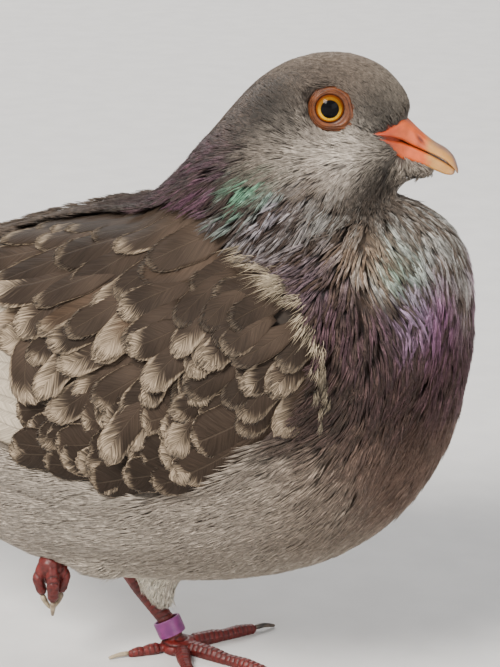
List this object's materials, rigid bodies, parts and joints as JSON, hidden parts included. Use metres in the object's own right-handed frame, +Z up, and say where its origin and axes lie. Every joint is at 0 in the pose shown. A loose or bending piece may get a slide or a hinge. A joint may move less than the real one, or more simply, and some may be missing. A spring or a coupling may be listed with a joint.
{
  "type": "domestic pigeon, still life-size model",
  "caption": "Plump domestic pigeon standing on its left leg with the right foot drawn up under its belly, neck drawn in, wings folded, a plain ring on the standing leg.",
  "frame": {"origin": "on the floor under the middle of the standing foot's sole", "axes": "+X the way the body faces, from tail to breast; +Y the bird's left side; +Z up"},
  "size_m": [0.2686, 0.1046, 0.173],
  "materials": {
    "head_feathers": "matte grey-brown plumage",
    "neck_feathers": "grey-brown plumage with a green and purple sheen",
    "breast_feathers": "brown-mauve plumage with a purple and green sheen",
    "belly_feathers": "soft pale grey-cream plumage",
    "rump_feathers": "soft pale plumage",
    "wing_feathers": "dark brown feathers with cream fringes",
    "flight_feathers": "white and dark brown quills with fine barbs",
    "tail_feathers": "grey quills with a dark band near the end",
    "eye": "wet, orange and yellow iris round a black pupil",
    "eyelid": "bare wrinkled orange-brown skin",
    "bill": "smooth salmon skin and pale horn",
    "leg_skin": "scaly dark red skin",
    "claw": "dark horn with paler tips",
    "leg_ring": "plain pink-purple plastic"
  },
  "bodies": {
    "root": {"head": "head_feathers", "neck": "neck_feathers", "breast": "breast_feathers", "trunk": "belly_feathers", "rump": "rump_feathers", "wing_left": "wing_feathers", "wing_right": "wing_feathers", "primaries_left": "flight_feathers", "primaries_right": "flight_feathers", "tail": "tail_feathers", "thigh_left": "belly_feathers", "thigh_right": "belly_feathers", "eye_left": "eye", "eye_right": "eye", "eyelid_left": "eyelid", "eyelid_right": "eyelid", "bill_upper": "bill", "bill_lower": "bill", "shank_left": "leg_skin", "sole_left": "leg_skin", "toe_inner_left": "leg_skin", "toe_middle_left": "leg_skin", "toe_outer_left": "leg_skin", "toe_hallux_left": "leg_skin", "sole_right": "leg_skin", "toe_inner_right": "leg_skin", "toe_middle_right": "leg_skin", "toe_outer_right": "leg_skin", "toe_hallux_right": "leg_skin", "claw_inner_left": "claw", "claw_middle_left": "claw", "claw_outer_left": "claw", "claw_hallux_left": "claw", "claw_inner_right": "claw", "claw_middle_right": "claw", "claw_outer_right": "claw", "claw_hallux_right": "claw", "leg_ring": "leg_ring"}
  },
  "joints": []
}
